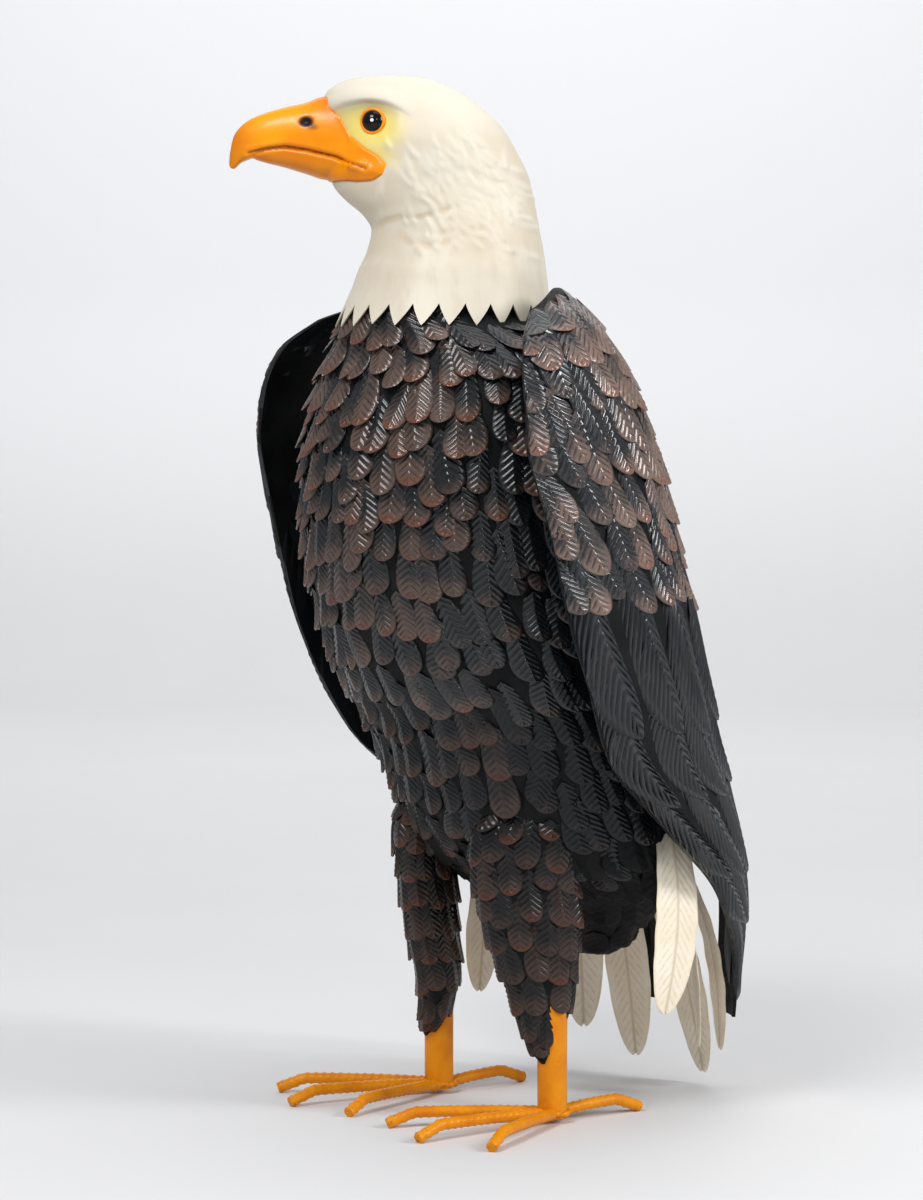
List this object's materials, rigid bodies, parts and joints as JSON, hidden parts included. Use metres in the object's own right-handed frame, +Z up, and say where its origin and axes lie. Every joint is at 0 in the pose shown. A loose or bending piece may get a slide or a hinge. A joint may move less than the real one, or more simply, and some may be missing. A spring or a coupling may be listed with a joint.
{
  "type": "standing eagle statuette",
  "caption": "Standing metal eagle statuette with a turned cast head, feathered body, folded wings, blade tail, tube legs and bent bar toes.",
  "frame": {"origin": "middle of the ground rectangle that the statue covers", "axes": "-Y the way the breast faces, +X the bird's own left, +Z up along its height"},
  "size_m": [0.4404, 0.4268, 0.866],
  "materials": {
    "ivory_enamel": "satin",
    "body_feathers": "gloss",
    "wing_feathers": "gloss",
    "tail_enamel": "satin",
    "orange_enamel": "satin",
    "eye_gloss": "gloss"
  },
  "bodies": {
    "root": {"head": "ivory_enamel", "torso": "body_feathers", "wing_left": "wing_feathers", "wing_right": "wing_feathers", "eye_left": "eye_gloss", "eye_right": "eye_gloss", "leg_left": "orange_enamel", "leg_right": "orange_enamel", "toe_left_inner": "orange_enamel", "toe_left_middle": "orange_enamel", "toe_left_outer": "orange_enamel", "toe_left_back": "orange_enamel", "toe_right_inner": "orange_enamel", "toe_right_middle": "orange_enamel", "toe_right_outer": "orange_enamel", "toe_right_back": "orange_enamel", "tail_middle": "tail_enamel", "tail_left_inner": "tail_enamel", "tail_left_side": "tail_enamel", "tail_left_front": "tail_enamel", "tail_right_inner": "tail_enamel", "tail_right_side": "tail_enamel", "tail_right_front": "tail_enamel"}
  },
  "joints": []
}
